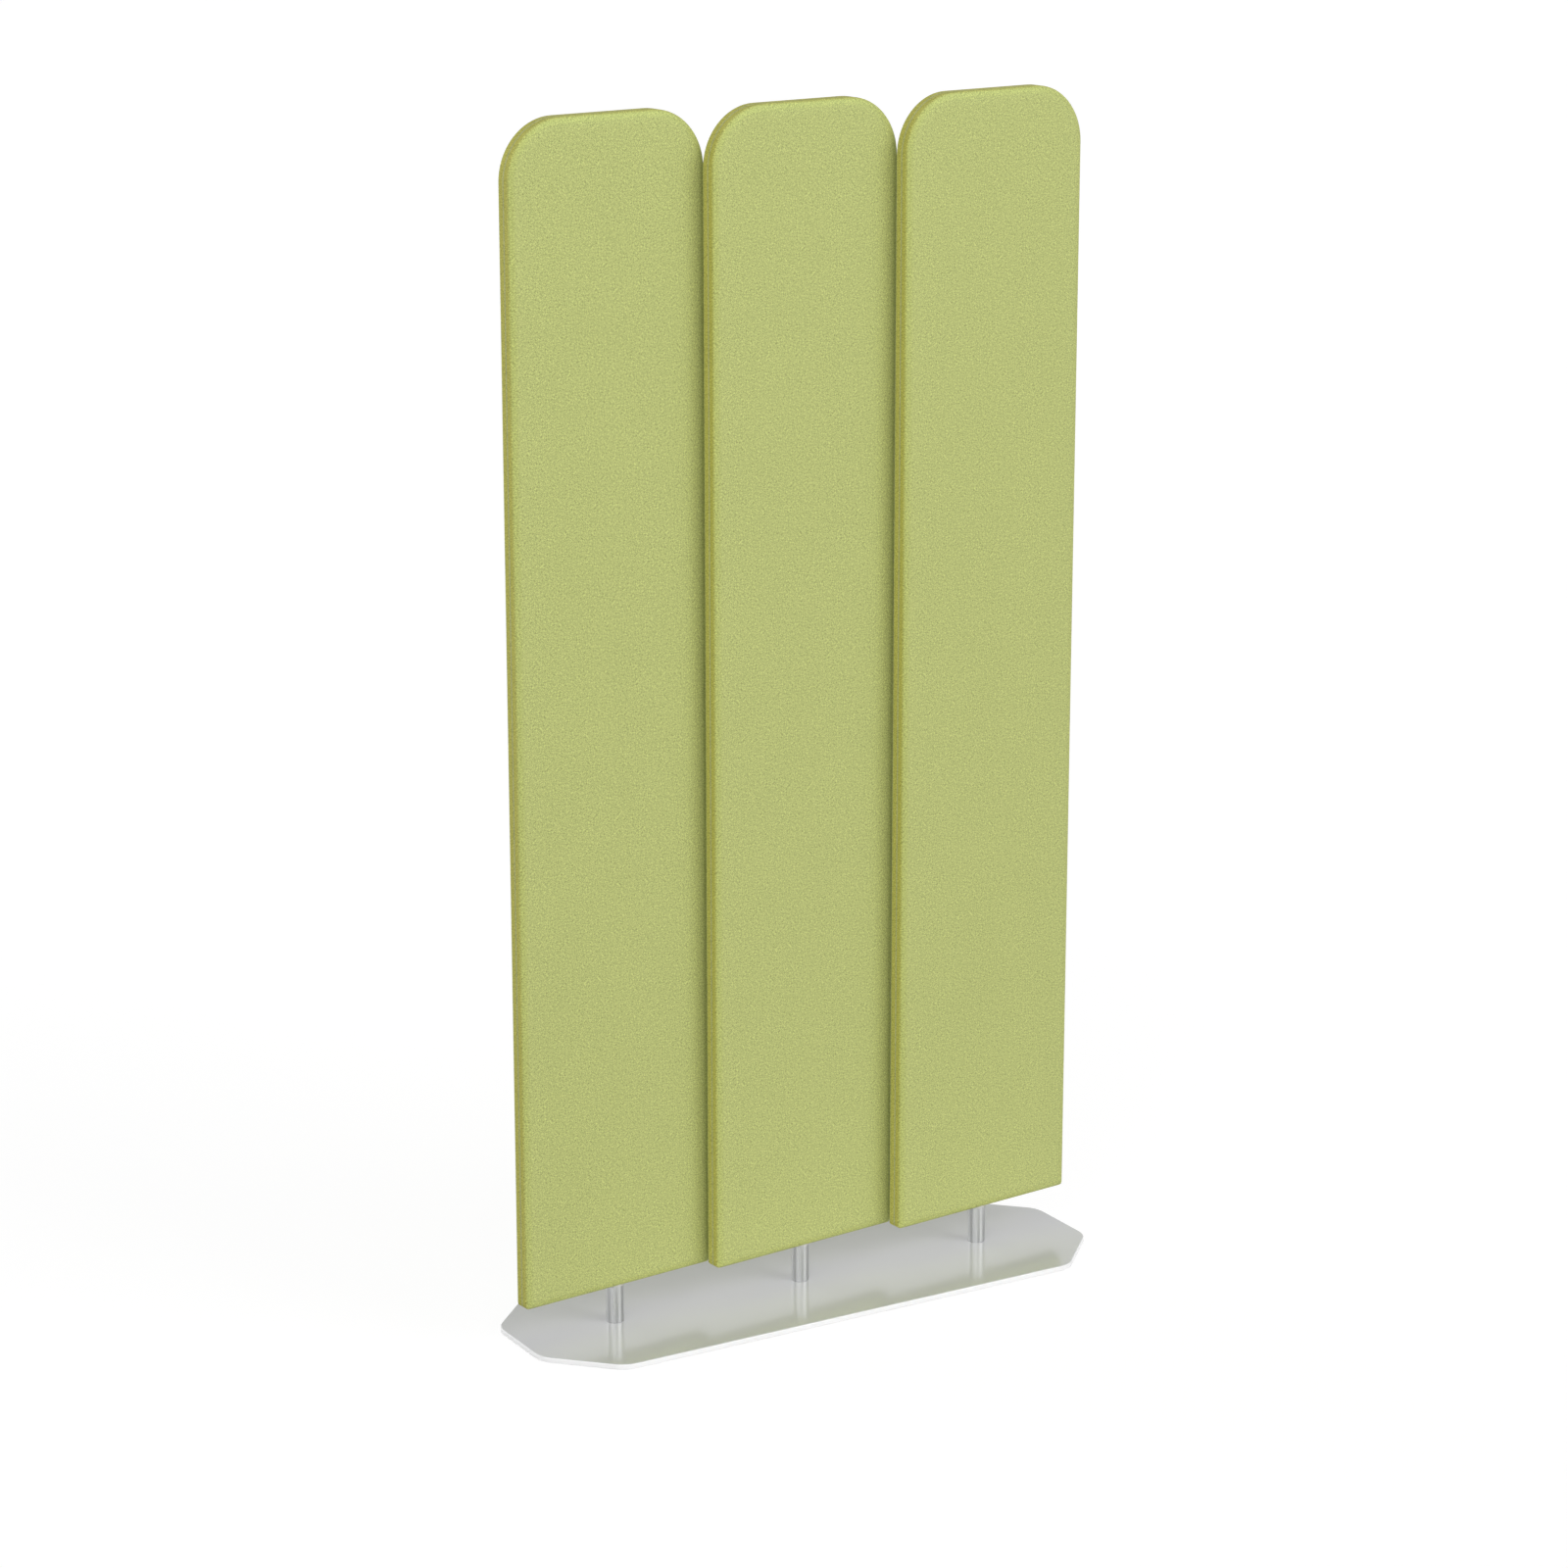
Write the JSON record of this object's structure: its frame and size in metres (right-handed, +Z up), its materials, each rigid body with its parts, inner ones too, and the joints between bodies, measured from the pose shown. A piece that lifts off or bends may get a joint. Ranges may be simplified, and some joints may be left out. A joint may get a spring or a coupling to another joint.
{
  "type": "acoustic divider screen",
  "caption": "Free-standing acoustic screen: tall upholstered panels with rounded tops, each turning on a round post over a low octagonal floor plate.",
  "frame": {"origin": "middle of the footprint, on the floor", "axes": "+X along the row of posts, +Y from the front to the back, +Z up"},
  "size_m": [0.9664, 0.319, 1.788],
  "materials": {
    "lime_cloth": "fine crepe weave",
    "edge_tape": "narrow woven tape",
    "foam": "open-cell foam",
    "felt": "pressed fibre felt",
    "board": "routed fibreboard",
    "silver_lacquer": "smooth silver powder coat, semi-gloss",
    "satin_steel": "ground satin tube",
    "zinc_steel": "bright zinc plated",
    "bearing_plastic": "turned, matte",
    "pad_rubber": "matte"
  },
  "bodies": {
    "base": {"base_plate": "silver_lacquer", "floor_pads": "pad_rubber", "post_screws": "zinc_steel", "left_post": "satin_steel", "left_pivot_bar": "zinc_steel", "left_thrust_bearing": "bearing_plastic", "centre_post": "satin_steel", "centre_pivot_bar": "zinc_steel", "centre_thrust_bearing": "bearing_plastic", "right_post": "satin_steel", "right_pivot_bar": "zinc_steel", "right_thrust_bearing": "bearing_plastic"},
    "left_panel": {"left_cover_front": "lime_cloth", "left_cover_back": "lime_cloth", "left_edge_tape": "edge_tape", "left_foam_front": "foam", "left_foam_back": "foam", "left_core_frame": "board", "left_acoustic_infill": "felt", "left_socket_tube": "zinc_steel", "left_foot_screws": "zinc_steel", "left_lower_bush": "bearing_plastic", "left_upper_bush": "bearing_plastic"},
    "centre_panel": {"centre_cover_front": "lime_cloth", "centre_cover_back": "lime_cloth", "centre_edge_tape": "edge_tape", "centre_foam_front": "foam", "centre_foam_back": "foam", "centre_core_frame": "board", "centre_acoustic_infill": "felt", "centre_socket_tube": "zinc_steel", "centre_foot_screws": "zinc_steel", "centre_lower_bush": "bearing_plastic", "centre_upper_bush": "bearing_plastic"},
    "right_panel": {"right_cover_front": "lime_cloth", "right_cover_back": "lime_cloth", "right_edge_tape": "edge_tape", "right_foam_front": "foam", "right_foam_back": "foam", "right_core_frame": "board", "right_acoustic_infill": "felt", "right_socket_tube": "zinc_steel", "right_foot_screws": "zinc_steel", "right_lower_bush": "bearing_plastic", "right_upper_bush": "bearing_plastic"}
  },
  "joints": [
    {"name": "left_swivel", "type": "hinge", "parent": "base", "child": "left_panel", "pos_m": [-0.32, 0, 0.068], "axis": [0, 0, 1], "range_deg": [0, 150]},
    {"name": "centre_swivel", "type": "hinge", "parent": "base", "child": "centre_panel", "pos_m": [0, 0, 0.068], "axis": [0, 0, 1], "range_deg": [0, 150]},
    {"name": "right_swivel", "type": "hinge", "parent": "base", "child": "right_panel", "pos_m": [0.32, 0, 0.068], "axis": [0, 0, 1], "range_deg": [0, 150]}
  ]
}
